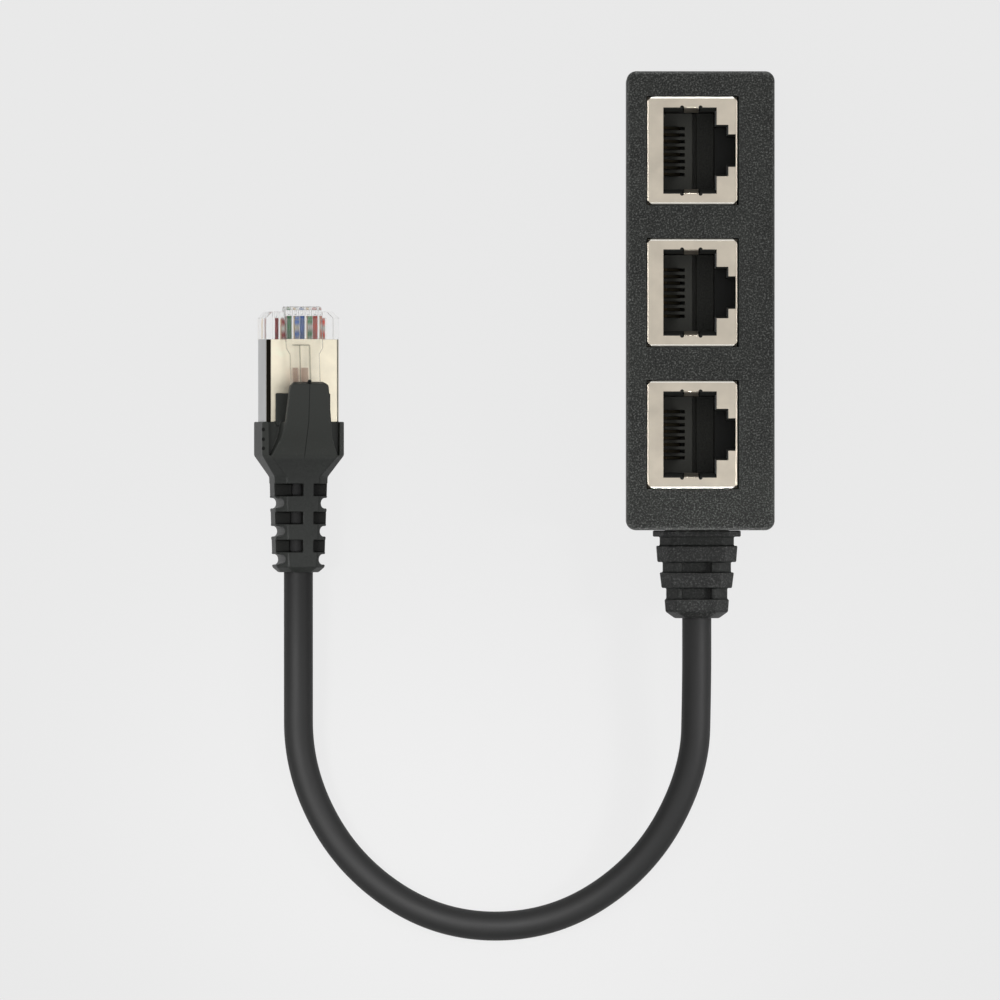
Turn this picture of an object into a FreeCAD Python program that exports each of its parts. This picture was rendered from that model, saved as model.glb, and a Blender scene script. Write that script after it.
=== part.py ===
import FreeCAD, Part
import math
import os

# One plug into three sockets: a black box of three shielded jacks on a short lead with a booted plug.
# The box lies on its back at the origin with the jacks facing +Z and its cable leaving along -Y.

# Plug, at its standard size
plug_width = 11.5
plug_height = 6.6
plug_length = 21.5
nose_chamfer = 1.0
contact_count = 8
contact_pitch = 1.016
plug_sheet = 0.2
plug_shield_start = 4.3
plug_shield_end_margin = 1.0
plug_shield_radius = 0.5
blade_zone = 9.0
blade_zone_half_width = 4.6
blade_thickness = 0.3
blade_slot_width = 0.42
blade_slot_length = 7.6
blade_front = 1.1
blade_length = 3.4
blade_recess = 0.45
blade_notch = 0.7
blade_corner = 0.5
wire_diameter = 0.8
wire_row_gap = 0.2
wire_front = 1.0
wire_sides = 6
fan_start = 10.5
cable_insertion = 5.5
rear_cavity_wall = 1.3
wire_pocket_play = 0.08

# Latch, moulded with the plug
latch_width = 5.8
latch_tail_width = 4.6
latch_shoulder = 5.6
latch_taper = 1.0
latch_length = 13.6
latch_bulge = 0.8
latch_thickness = 0.9
latch_root_drop = 1.7
latch_root_overlap = 0.3
latch_rounding = 0.2
latch_bulge_height = 1.9
latch_neck = 1.2
latch_gap = 0.45
latch_bend = 2.0
latch_front_rise = 1.25
latch_end_rise = 3.05

# Boot over the plug's tail
boot_wall = 0.65
boot_overlap = 4.5
boot_gap = 0.05
boot_bevel = 1.2
boot_side_rise = 0.9
collar_length = 5.2
shoulder_length = 3.3
neck_width = 8.4
neck_height = 7.6
neck_end_width = 7.6
neck_end_height = 6.8
neck_bevel = 1.6
rib_pitch = 4.33
first_slot = 2.0
slot_length = 1.8
slot_depth = 1.9
slot_web = 1.7
slot_web_offset = 0.85
groove_after_slot = 2.05
groove_radius = 0.8
groove_depth = 1.3
rib_count = 3
last_ring = 2.0
ring_round = 0.8
hood_reach = 6.2
hood_front_width = 6.0
hood_mid_width = 7.1
hood_rear_width = 10.4
hood_flare_share = 0.3
hood_thickness = 1.4
hood_front_top = 8.9
hood_mid_top = 8.1
hood_corner = 0.7
hood_lip = 0.35
hood_step = 0.3
hood_channel_width = 5.2
hood_channel_length = 2.0
recess_depth = 1.3
recess_wall = 0.9
pad_width = 8.6
pad_thickness = 0.4
pad_reach = 4.4

# Jacks, sized round the plug
port_count = 3
port_pitch = 21.8
plug_side_play = 0.2
plug_face_play = 0.125
spring_room = 1.35
plastic_rim = 0.675
plastic_step_rim = 0.3
side_rim = 1.675
contact_side_rim = 2.5
latch_side_rim = 0.3
step_1_depth = 1.8
step_1_width = 7.9
step_2_depth = 1.1
step_2_width = 5.0
sheet = 0.25
bend_radius = 0.4
fit_gap = 0.05
corner_notch = 0.75
corner_notch_depth = 3.2
latch_side_return = 5.0
shield_proud = 0.2
ground_tab_width = 2.2
ground_tab_centre = 4.3
ground_tab_length = 6.6
ground_tab_bow = 0.12
ground_tab_touch = 2.2
ground_tab_bend = 1.0
tab_notch_radius = 0.32
tab_notch_sides = 8
tab_recess_play = 0.2
board_blade_width = 1.2
board_blade_height = 14.0
front_lip = 1.6
ceiling_plate = 0.9
ceiling_drop = 0.55
insertion_depth = 11.3
comb_width = 3.9
comb_rail = 1.2
comb_groove = 0.6
comb_share = 0.38
back_wall_step = 0.6
rear_block_rise = 0.9
comb_slot_width = 0.5
contact_width = 0.4
contact_thickness = 0.3
first_row_share = 0.6
pin_row_pitch = 2.54
turn_margin = 1.4
turn_drop = 0.8
spring_protrusion = 1.05
spring_end_inset = 0.9
tail_length = 1.2
channel_play = 0.05

# Box
side_strip = 3.15
top_margin = 3.9
cable_margin = 6.4
housing_depth = 24.0
housing_wall = 1.8
housing_corner = 1.5
housing_edge = 0.8
window_gap = 0.2
cover_thickness = 2.0
cover_edge = 0.5
lip_thickness = 1.2
lip_height = 1.5
lip_gap = 0.1
rear_rib_height = 0.8
rear_rib_width = 1.2
rear_rib_inset = 3.0
board_thickness = 1.6
board_gap = 0.15
board_edge_gap = 0.35
board_hole_play = 0.1
tail_clearance = 0.95

# Cable and the sleeve where it leaves the box
cable_diameter = 4.5
cable_sides = 10
arc_share = 0.45
bore_gap = 0.05
floor_gap = 0.05
sleeve_x = -0.5
sleeve_neck_width = 9.6
sleeve_neck_height = 8.0
sleeve_bevel = 1.7
sleeve_gap = 0.05
flange_rim = 1.0
flange_thickness = 1.4
collar_width = 13.5
collar_height = 10.6
collar_thickness = 0.95
ring_lengths = (2.5, 2.4, 1.9)
ring_widths = ((12.5, 12.1), (11.4, 10.8), (9.9, 9.6))
ring_heights = ((9.8, 9.4), (9.0, 8.6), (8.3, 8.0))
groove_lengths = (1.4, 1.6, 1.75)
groove_widths = (11.4, 10.5, 9.4)
groove_heights = (8.8, 8.2, 7.4)
sleeve_tip_length = 1.0
sleeve_tip_width = 6.8
sleeve_tip_height = 5.8
slotted_steps = (3, 5)
sleeve_slot_width = 4.5
sleeve_slot_depth = 1.3

# Wires inside the box
board_wire_pitch = 0.9
board_wire_fan = 4.2
board_wire_rise = 0.75
board_wire_step = 1.15
cable_end_proud = 0.3

# The lie of the plug, which is rolled a little on its cable
plug_x = -61.9
boot_end_y = -41.75
plug_roll = 12.0

WIRE_COLOURS = (
    "white_orange",
    "orange",
    "white_green",
    "blue",
    "white_blue",
    "green",
    "white_brown",
    "brown",
)

# Jack stations across the face (X), from the box's edge on the contact side
opening_height = plug_height + 2 * plug_face_play + spring_room
shield_height = contact_side_rim + opening_height + step_1_depth + step_2_depth + latch_side_rim
latch_side_strip = board_gap + board_thickness + tail_length + tail_clearance + housing_wall
housing_width = side_strip + shield_height + latch_side_strip
shield_left = side_strip - housing_width / 2
shield_right = shield_left + shield_height
opening_left = shield_left + contact_side_rim
opening_right = opening_left + opening_height
step_1_right = opening_right + step_1_depth
step_2_right = step_1_right + step_2_depth
body_left = shield_left + sheet + fit_gap
body_right = shield_right - sheet - fit_gap
cavity_right = opening_right - plastic_step_rim
ceiling_x = opening_left - ceiling_drop
insert_pocket_left = ceiling_x - ceiling_plate - fit_gap
comb_right = ceiling_x + comb_width
rail_right = comb_right + comb_rail
back_wall_left = rail_right + comb_groove
board_near = shield_right + board_gap
board_far = board_near + board_thickness
tail_end = board_far + tail_length

# Jack stations along the row (Y)
cavity_width = plug_width + 2 * plug_side_play
opening_width = cavity_width + 2 * plastic_rim
shield_width = opening_width + 2 * side_rim
housing_length = (port_count - 1) * port_pitch + shield_width + top_margin + cable_margin
top_port_y = housing_length / 2 - top_margin - shield_width / 2
port_ys = [top_port_y - number * port_pitch for number in range(port_count)]
port_row_top = port_ys[0] + shield_width / 2
port_row_bottom = port_ys[-1] - shield_width / 2

# Jack stations in depth (Z)
face_z = housing_depth + shield_proud
rear_z = cover_thickness + rear_rib_height
body_front = face_z - sheet - fit_gap
body_rear = rear_z + sheet + fit_gap
lip_inner = body_front - front_lip
comb_front = body_front - insertion_depth
slot_floor = comb_front - comb_share * (comb_front - body_rear)
rear_block_front = slot_floor + rear_block_rise
first_pin_row = first_row_share * (slot_floor - body_rear - pin_row_pitch)
turn_z = lip_inner - turn_margin

# Box stations
half_width = housing_width / 2
half_length = housing_length / 2
pocket_x = half_width - housing_wall
pocket_y = half_length - housing_wall
pocket_top = housing_depth - housing_wall
cable_z = housing_depth / 2
cable_radius = cable_diameter / 2
bore_radius = cable_radius + bore_gap
flange_face_y = -pocket_y + sleeve_gap + flange_thickness
cable_end_y = flange_face_y + cable_end_proud

# Plug stations, measured back from the nose
collar_front = plug_length - boot_overlap
collar_back = collar_front + collar_length
neck_front = collar_back + shoulder_length
slot_centres = [neck_front + first_slot + number * rib_pitch for number in range(rib_count)]
groove_centres = [centre + groove_after_slot for centre in slot_centres]
boot_length = groove_centres[-1] + last_ring
boot_width = plug_width + 2 * (boot_wall + boot_gap)
boot_bottom = plug_height / 2 + boot_wall + boot_gap
boot_top = boot_bottom + boot_side_rise
cable_tip = plug_length - cable_insertion
pocket_half_height = wire_diameter + wire_row_gap / 2 + wire_pocket_play
wire_row_z = (wire_diameter + wire_row_gap) / 2

# Height of the plug's axis when the collar's lower corner touches the floor
roll = math.radians(plug_roll)
plug_axis_z = (boot_width / 2 - boot_bevel) * math.sin(roll) + boot_bottom * math.cos(roll) + floor_gap
cable_lay = cable_radius + floor_gap


def vector(x, y, z):
    return FreeCAD.Vector(x, y, z)


def block(x_span, y_span, z_span):
    """Box between two limits on each axis."""
    (x0, x1), (y0, y1), (z0, z1) = x_span, y_span, z_span
    return Part.makeBox(x1 - x0, y1 - y0, z1 - z0, vector(x0, y0, z0))


def about(centre, width):
    """The two limits of a width about its centre."""
    return centre - width / 2, centre + width / 2


def flat_face(points):
    """Face inside a closed outline of straight sides."""
    return Part.Face(Part.makePolygon(points + points[:1]))


def prism(points, direction):
    """Solid swept from a closed outline of straight sides."""
    return flat_face(points).extrude(direction)


def rounded_outline(width, height, radius):
    """Rounded rectangle about the origin, in the XY plane."""
    x = width / 2 - radius
    y = height / 2 - radius
    corners = ((x, y, 0), (-x, y, 90), (-x, -y, 180), (x, -y, 270))
    arcs = [Part.makeCircle(radius, vector(u, v, 0), vector(0, 0, 1), a, a + 90) for u, v, a in corners]
    edges = []
    for number, arc in enumerate(arcs):
        following = arcs[(number + 1) % len(arcs)]
        edges.append(arc)
        edges.append(Part.makeLine(arc.Vertexes[-1].Point, following.Vertexes[0].Point))
    return Part.Wire(edges)


def rounded_section(width, height, radius, y):
    """Rounded rectangle across the Y axis at y, about the plug's own axis."""
    outline = rounded_outline(width, height, radius)
    outline.Placement = FreeCAD.Placement(vector(0, y, 0), FreeCAD.Rotation(vector(1, 0, 0), 90))
    return outline


def section(width, height, bevel, y, x_centre=0.0, z_centre=0.0):
    """Corners of a bevelled rectangle across the Y axis at y."""
    x = width / 2
    z = height / 2
    quarter = [(x, z - bevel), (x - bevel, z)]
    points = quarter + [(-u, v) for u, v in quarter[::-1]]
    points += [(-u, -v) for u, v in points]
    return [vector(x_centre + u, y, z_centre + v) for u, v in points]


def along_y(length):
    return vector(0, length, 0)


def tapered(*rings):
    """Solid through a row of sections with like corners, flat between them."""
    faces = [flat_face(rings[0]), flat_face(rings[-1])]
    for near, far in zip(rings, rings[1:]):
        for number in range(len(near)):
            following = (number + 1) % len(near)
            faces.append(flat_face([near[number], near[following], far[following], far[number]]))
    return Part.makeSolid(Part.makeShell(faces))


def regular_points(sides, radius):
    """Corners of a regular outline that a round section is drawn with."""
    angles = [2 * math.pi * (number + 0.5) / sides for number in range(sides)]
    return [(radius * math.cos(angle), radius * math.sin(angle)) for angle in angles]


def rod(radius, start, end):
    """Round bar between two points."""
    axis = end - start
    return Part.makeCylinder(radius, axis.Length, start, axis)


def edges_at(shape, axis, value):
    """Edges that lie wholly at one value of an axis."""
    found = []
    for edge in shape.Edges:
        if all(abs(getattr(point, axis) - value) < 1e-6 for point in edge.discretize(5)):
            found.append(edge)
    return found


def strip(points, thickness):
    """Outline of a bent strip, given its centre line and thickness in one plane."""
    sides = ([], [])
    for number, point in enumerate(points):
        before = points[max(number - 1, 0)]
        after = points[min(number + 1, len(points) - 1)]
        runs = [run.normalize() for run in (point - before, after - point) if run.Length > 0]
        along = (runs[0] + runs[-1]).normalize()
        across = vector(-along.z, 0, along.x)
        reach = thickness / 2 / along.dot(runs[0])
        sides[0].append(point + across * reach)
        sides[1].append(point - across * reach)
    return sides[0] + sides[1][::-1]


def route_path(points, lead_in, lead_out):
    """Straight runs joined by tangent arcs, with a straight lead before and after the route."""
    runs = [after - before for before, after in zip(points, points[1:])]
    radii = []
    edges = []
    position = points[0] - runs[0].normalize() * lead_in
    for number, corner in enumerate(points[1:-1]):
        before = points[number + 1] - points[number]
        after = points[number + 2] - points[number + 1]
        turn = before.getAngle(after)
        reach = arc_share * min(before.Length, after.Length)
        radius = reach / math.tan(turn / 2)
        before.normalize()
        after.normalize()
        first = corner - before * reach
        last = corner + after * reach
        inward = (after - before).normalize()
        middle = corner + inward * (radius / math.cos(turn / 2) - radius)
        edges.append(Part.LineSegment(position, first).toShape())
        edges.append(Part.Arc(first, middle, last).toShape())
        radii.append(radius)
        position = last
    end = points[-1] + runs[-1].normalize() * lead_out
    edges.append(Part.LineSegment(position, end).toShape())
    return Part.Wire(edges), radii


def jack_shield(y):
    """Folded tin-plated sheet: face with the stepped opening, four sides, rear wall and ground tabs."""
    y_span = about(y, shield_width)
    shield = block((shield_left, shield_right), y_span, (rear_z, face_z))
    shield = shield.makeFillet(bend_radius, edges_at(shield, "z", face_z))
    inner_y = about(y, shield_width - 2 * sheet)
    inner_x = (shield_left + sheet, shield_right - sheet)
    shield = shield.cut(block(inner_x, inner_y, (rear_z + sheet, face_z - sheet)))
    return_z = face_z - latch_side_return
    shield = shield.cut(block((inner_x[1], board_near), inner_y, (rear_z, return_z)))
    opening_z = (face_z - 2 * sheet, face_z + sheet)
    opening = block((opening_left, opening_right), about(y, opening_width), opening_z)
    opening = opening.fuse(block((opening_left, step_1_right), about(y, step_1_width), opening_z))
    opening = opening.fuse(block((opening_left, step_2_right), about(y, step_2_width), opening_z))
    shield = shield.cut([opening] + corner_notches(y))
    return shield.cut(tab_notches(y)).fuse(ground_tabs(y) + board_blades(y)).removeSplitter()


def corner_notches(y):
    """Relief cut at each corner of the face, where two folds meet."""
    notches = []
    depth = vector(0, 0, corner_notch_depth + sheet)
    for x, inward_x in ((shield_left, 1), (shield_right, -1)):
        for edge_y, inward_y in zip(about(y, shield_width), (1, -1)):
            corner = vector(x, edge_y, face_z - corner_notch_depth)
            along_x = corner + vector(inward_x * corner_notch, 0, 0)
            along_y = corner + vector(0, inward_y * corner_notch, 0)
            outside = corner - vector(inward_x * sheet, inward_y * sheet, 0)
            notches.append(prism([outside, along_x, along_y], depth))
            outer_x = along_x - vector(0, inward_y * sheet, 0)
            outer_y = along_y - vector(inward_x * sheet, 0, 0)
            notches.append(prism([outside, outer_x, along_x], depth))
            notches.append(prism([outside, along_y, outer_y], depth))
    return notches


def tab_notches(y):
    """Round relief at each root of the two ground tabs."""
    notches = []
    for edge_y in about(y, opening_width):
        for x in about(opening_left + ground_tab_centre, ground_tab_width + 2 * tab_notch_radius):
            ring = [
                vector(x + u, edge_y + v, face_z - 2 * sheet)
                for u, v in regular_points(tab_notch_sides, tab_notch_radius)
            ]
            notches.append(prism(ring, vector(0, 0, 3 * sheet)))
    return notches


def ground_tabs(y):
    """Spring tongues turned in from the opening's edges, which touch the plug's shield."""
    tabs = []
    x = opening_left + ground_tab_centre - ground_tab_width / 2
    edge = opening_width / 2
    touch = plug_width / 2 + ground_tab_bow
    low = face_z - ground_tab_length
    bend = face_z - ground_tab_bend
    outer = (
        (edge + sheet, face_z - sheet),
        (edge + sheet, face_z),
        (edge, face_z),
        (edge - sheet, face_z - sheet),
        (edge - sheet, bend),
        (touch, low + ground_tab_touch),
        (touch + sheet, low),
        (touch + 2 * sheet, low),
        (touch + sheet, low + ground_tab_touch),
        (edge, bend),
        (edge, face_z - sheet),
    )
    for side in (1, -1):
        points = [vector(x, y + side * across, z) for across, z in outer]
        tabs.append(prism(points, vector(ground_tab_width, 0, 0)))
    return tabs


def board_blades(y):
    """Flat tails of the side walls, soldered through the board."""
    blades = []
    x_span = (shield_right - sheet, board_far + tail_length)
    z_span = about(board_blade_height, board_blade_width)
    for side in (1, -1):
        inner = y + side * (shield_width / 2 - sheet)
        outer = y + side * shield_width / 2
        blades.append(block(x_span, (min(inner, outer), max(inner, outer)), z_span))
    return blades


def jack_body(y):
    """Moulded jack: plug cavity, stepped latch channel, and a pocket for the comb behind."""
    depth = (body_rear, body_front)
    body = block((body_left, body_right), about(y, shield_width - 2 * (sheet + fit_gap)), depth)
    past_front = body_front + sheet
    past_rear = body_rear - sheet
    cavity_y = about(y, cavity_width)
    channel_right = step_1_right - plastic_step_rim
    step_1_y = about(y, step_1_width - 2 * plastic_step_rim)
    step_2_y = about(y, step_2_width - 2 * plastic_step_rim)
    cuts = [
        block((opening_left - fit_gap, cavity_right), cavity_y, (comb_front, past_front)),
        block((insert_pocket_left, cavity_right), cavity_y, (past_rear, lip_inner)),
        block((cavity_right - sheet, body_right + sheet), cavity_y, (past_rear, rear_block_front + fit_gap)),
        block((cavity_right - sheet, channel_right), step_1_y, (comb_front, past_front)),
        block((cavity_right - sheet, body_right + sheet), step_2_y, (comb_front, past_front)),
    ]
    recess_x = about(opening_left + ground_tab_centre, ground_tab_width + 2 * tab_recess_play)
    recess_z = (face_z - ground_tab_length - tab_recess_play, past_front)
    recess_y = about(y, opening_width + 2 * sheet + 2 * fit_gap)
    cuts.append(block(recess_x, recess_y, recess_z))
    return body.cut(cuts).removeSplitter()


def pin_z(number):
    """Height of a contact's tail above the box's back: even and odd contacts are in two rows."""
    return body_rear + first_pin_row + (number % 2) * pin_row_pitch


def contact_y(y, number):
    return y + (number - (contact_count - 1) / 2) * contact_pitch


def jack_insert(y):
    """Comb moulding: ceiling plate, slotted comb, groove and back wall, with channels for the tails."""
    y_span = about(y, cavity_width - 2 * fit_gap)
    left = insert_pocket_left + fit_gap
    wall_right = cavity_right - fit_gap
    wall_front = comb_front - back_wall_step
    insert = block((left, body_right), y_span, (body_rear, rear_block_front))
    insert = insert.fuse(
        [
            block((left, rail_right), y_span, (rear_block_front, comb_front)),
            block((back_wall_left, wall_right), y_span, (rear_block_front, wall_front)),
            block((left, ceiling_x), y_span, (comb_front, lip_inner - fit_gap)),
        ]
    )
    cuts = []
    groove_right = ceiling_x + contact_thickness + channel_play
    for number in range(contact_count):
        across = about(contact_y(y, number), comb_slot_width)
        tail_z = about(pin_z(number), contact_thickness + 2 * channel_play)
        cuts.append(block((ceiling_x, comb_right), across, (slot_floor, comb_front + sheet)))
        cuts.append(block((ceiling_x, groove_right), across, (tail_z[0], slot_floor + sheet)))
        cuts.append(block((ceiling_x, body_right + sheet), across, tail_z))
    return insert.cut(cuts).removeSplitter()


def jack_contact(y, number):
    """Spring: tail through the board, up the comb, along its ceiling, and back down into the cavity."""
    run_x = ceiling_x + contact_thickness / 2
    tail_z = pin_z(number)
    free_x = opening_left + spring_room + plug_face_play + spring_protrusion
    points = [
        vector(tail_end, 0, tail_z),
        vector(run_x, 0, tail_z),
        vector(run_x, 0, turn_z),
        vector(run_x + turn_drop, 0, turn_z + contact_thickness),
        vector(free_x, 0, comb_front - spring_end_inset),
    ]
    contact = prism(strip(points, contact_thickness), vector(0, contact_width, 0))
    contact.translate(vector(0, contact_y(y, number) - contact_width / 2, 0))
    return contact


def circuit_board():
    """Board that joins the jacks in parallel, each hole drawn to its pin's own section."""
    board_x = (board_near, board_far)
    board_y = pocket_y - board_edge_gap
    bottom = cover_thickness + lip_height + lip_gap
    board = block(board_x, (-board_y, board_y), (bottom, pocket_top - board_edge_gap))
    past = (board_near - sheet, board_far + sheet)
    holes = []
    for y in port_ys:
        for number in range(contact_count):
            across = about(contact_y(y, number), contact_width + 2 * board_hole_play)
            z_span = about(pin_z(number), contact_thickness + 2 * board_hole_play)
            holes.append(block(past, across, z_span))
        for side in (1, -1):
            across = about(y + side * (shield_width - sheet) / 2, sheet + 2 * board_hole_play)
            z_span = about(board_blade_height, board_blade_width + 2 * board_hole_play)
            holes.append(block(past, across, z_span))
    return board.cut(holes)


def rounded_block(width, length, radius, z_span):
    outline = rounded_outline(width, length, radius)
    outline.translate(vector(0, 0, z_span[0]))
    return Part.Face(outline).extrude(vector(0, 0, z_span[1] - z_span[0]))


def wall_span():
    """The end wall that the cable goes through."""
    return -half_length, -pocket_y


def housing_shell():
    """Tray with the front face, four walls, three windows and a notch for the cable's sleeve."""
    shell = rounded_block(housing_width, housing_length, housing_corner, (cover_thickness, housing_depth))
    shell = shell.makeFillet(housing_edge, edges_at(shell, "z", housing_depth))
    pocket_z = (cover_thickness, pocket_top)
    cuts = [block((-pocket_x, pocket_x), (-pocket_y, pocket_y), pocket_z)]
    window_x = (shield_left - window_gap, shield_right + window_gap)
    for y in port_ys:
        window_y = about(y, shield_width + 2 * window_gap)
        cuts.append(block(window_x, window_y, (pocket_top - sheet, housing_depth + sheet)))
    cuts.append(sleeve_notch())
    return shell.cut(cuts).removeSplitter()


def sleeve_notch():
    """Notch in the end wall, open to the back, bevelled at the top to fit the sleeve's neck."""
    width = sleeve_neck_width + 2 * sleeve_gap
    height = sleeve_neck_height + 2 * sleeve_gap
    outer, inner = wall_span()
    start = outer - sheet
    depth = inner + sheet - start
    opening = prism(section(width, height, sleeve_bevel, start, sleeve_x, cable_z), along_y(depth))
    below = block(about(sleeve_x, width), (start, start + depth), (cover_thickness, cable_z))
    return opening.fuse(below)


def back_cover():
    """Lid with a locating lip, ribs that hold the jacks forward, and a tongue under the sleeve."""
    cover = rounded_block(housing_width, housing_length, housing_corner, (0, cover_thickness))
    cover = cover.makeChamfer(cover_edge, edges_at(cover, "z", 0))
    lip_x = pocket_x - lip_gap
    lip_y = pocket_y - lip_gap
    lip_z = (cover_thickness, cover_thickness + lip_height)
    lip = block((-lip_x, lip_x), (-lip_y, lip_y), lip_z)
    inner_x = lip_x - lip_thickness
    inner_y = lip_y - lip_thickness
    lip = lip.cut(block((-inner_x, inner_x), (-inner_y, inner_y), lip_z))
    rib_y = (port_row_bottom, port_row_top)
    ribs = []
    for x in (shield_left + rear_rib_inset, shield_right - rear_rib_inset):
        ribs.append(block(about(x, rear_rib_width), rib_y, (cover_thickness, rear_z)))
    tongue_width = sleeve_neck_width - 2 * sleeve_gap
    tongue_top = cable_z - sleeve_neck_height / 2 - sleeve_gap
    outer, inner = wall_span()
    tongue = block(about(sleeve_x, tongue_width), (outer, inner), (cover_thickness, tongue_top))
    return cover.fuse([lip, tongue] + ribs).removeSplitter()


def sleeve_stations():
    """Lengths, widths and heights of the sleeve's steps outside the box, from the wall outwards."""
    steps = [(collar_thickness, (collar_width, collar_width), (collar_height, collar_height))]
    for number, length in enumerate(ring_lengths):
        groove_width = groove_widths[number]
        groove_height = groove_heights[number]
        steps.append((groove_lengths[number], (groove_width,) * 2, (groove_height,) * 2))
        steps.append((length, ring_widths[number], ring_heights[number]))
    last_width = ring_widths[-1][1]
    last_height = ring_heights[-1][1]
    steps.append((sleeve_tip_length, (last_width, sleeve_tip_width), (last_height, sleeve_tip_height)))
    return steps


def sleeve_end_y():
    return -half_length - sleeve_gap - sum(step[0] for step in sleeve_stations())


def strain_relief():
    """Rubber sleeve on the cable: flange and neck held in the wall, then stepped rings with slots."""
    outer, inner = wall_span()
    flange_width = sleeve_neck_width + 2 * flange_rim
    flange_height = sleeve_neck_height + 2 * flange_rim
    centre = (sleeve_x, cable_z)
    y = outer - sleeve_gap
    neck = section(sleeve_neck_width, sleeve_neck_height, sleeve_bevel, y, *centre)
    sleeve = prism(neck, along_y(inner - outer + 2 * sleeve_gap))
    flange = section(flange_width, flange_height, sleeve_bevel, inner + sleeve_gap, *centre)
    parts = [prism(flange, along_y(flange_thickness))]
    slots = []
    for number, (length, widths, heights) in enumerate(sleeve_stations()):
        near = section(widths[0], heights[0], sleeve_bevel, y, *centre)
        far = section(widths[1], heights[1], sleeve_bevel, y - length, *centre)
        parts.append(tapered(near, far))
        if number in slotted_steps:
            reach = heights[0] / 2
            for side in (1, -1):
                z = cable_z + side * reach
                z_span = about(z, 2 * sleeve_slot_depth)
                slots.append(block(about(sleeve_x, sleeve_slot_width), (y - length, y), z_span))
        y -= length
    sleeve = sleeve.fuse(parts)
    bore = rod(bore_radius, vector(sleeve_x, -housing_length, cable_z), vector(sleeve_x, 0, cable_z))
    return sleeve.cut([bore] + slots).removeSplitter()


def cable_route():
    """Hand-chosen points of the cable's visible length, from the sleeve's end to the boot's end."""
    return [
        vector(sleeve_x, sleeve_end_y(), cable_z),
        vector(-0.5, -59.0, cable_z),
        vector(-0.8, -72.65, 9.6),
        vector(-8.6, -87.1, 5.6),
        vector(-22.7, -96.3, 2.9),
        vector(-39.8, -96.45, cable_lay),
        vector(-54.0, -87.3, cable_lay),
        vector(-61.9, -72.7, 3.2),
        vector(plug_x, -57.0, plug_axis_z),
        vector(plug_x, boot_end_y, plug_axis_z),
    ]


def cable():
    """Round jacket in one length, from inside the box to the crimp inside the plug."""
    points = cable_route()
    lead_in = cable_end_y - sleeve_end_y()
    lead_out = boot_length - cable_tip
    path, radii = route_path(points, lead_in, lead_out)
    start = points[0] + vector(0, lead_in, 0)
    ring = [start + vector(x, 0, z) for x, z in regular_points(cable_sides, cable_radius)]
    profile = Part.makePolygon(ring + ring[:1])
    tube = path.makePipeShell([profile], True, False)
    ideal = Part.Face(profile).Area * path.Length
    print("cable visible length", round(path.Length - lead_in - lead_out, 1))
    print("cable radii", [round(radius, 1) for radius in radii])
    print("cable volume over section times length", round(tube.Volume / ideal, 4))
    return tube


def wire_bar(start, end, diameter):
    """Insulated wire drawn with flat sides, between two points."""
    ring = [vector(x, y, 0) for x, y in regular_points(wire_sides, diameter / 2)]
    axis = end - start
    bar = prism(ring, vector(0, 0, axis.Length))
    bar.Placement = FreeCAD.Placement(start, FreeCAD.Rotation(vector(0, 0, 1), axis))
    return bar


def board_wires():
    """Wires out of the cable's end, each bent once towards its pad on the board."""
    wires = []
    row_middle = (contact_count / 2 - 1) / 2
    elbow = vector(0, wire_diameter / 2, 0)
    for column in (0, 1):
        x = sleeve_x + (0.5 - column) * board_wire_pitch
        bend_y = cable_end_y + board_wire_rise + column * board_wire_step
        for row in range(contact_count // 2):
            z = cable_z + (row - row_middle) * board_wire_pitch
            pad_z = cable_z + (row - row_middle) * board_wire_fan + (column - 0.5) * board_wire_fan / 2
            bend = vector(x, bend_y, z)
            upright = wire_bar(vector(x, cable_end_y, z), bend + elbow, wire_diameter)
            across = wire_bar(bend, vector(board_near + wire_diameter, bend_y, pad_z), wire_diameter)
            across = across.cut(block((board_near, board_far), (-half_length, 0), (0, housing_depth)))
            wires.append(upright.fuse(across).removeSplitter())
    return Part.makeCompound(wires)


def latch():
    """Springy arm moulded on the nose, wide to its shoulders and narrower behind."""
    top = plug_height / 2
    root = top - latch_root_drop
    shoulder_y = latch_bulge - latch_rounding
    profile = [
        vector(0, -latch_root_overlap, root),
        vector(0, shoulder_y, root + latch_rounding),
        vector(0, latch_bulge, root + latch_bulge_height / 2),
        vector(0, shoulder_y, root + latch_bulge_height),
        vector(0, -latch_bend, top + latch_front_rise),
        vector(0, -latch_length, top + latch_end_rise),
        vector(0, -latch_length, top + latch_end_rise - latch_thickness),
        vector(0, -latch_bend - latch_rounding, top + latch_gap),
        vector(0, -latch_neck, top),
        vector(0, -latch_neck, root),
    ]
    wide = latch_width / 2
    narrow = latch_tail_width / 2
    side = prism(profile, vector(latch_width, 0, 0))
    side.translate(vector(-wide, 0, 0))
    plan = [
        vector(-wide, latch_bulge, 0),
        vector(wide, latch_bulge, 0),
        vector(wide, -latch_shoulder, 0),
        vector(narrow, -latch_shoulder - latch_taper, 0),
        vector(narrow, -latch_length, 0),
        vector(-narrow, -latch_length, 0),
        vector(-narrow, -latch_shoulder - latch_taper, 0),
        vector(-wide, -latch_shoulder, 0),
    ]
    return side.common(prism(plan, vector(0, 0, plug_height + latch_end_rise)))


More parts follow.
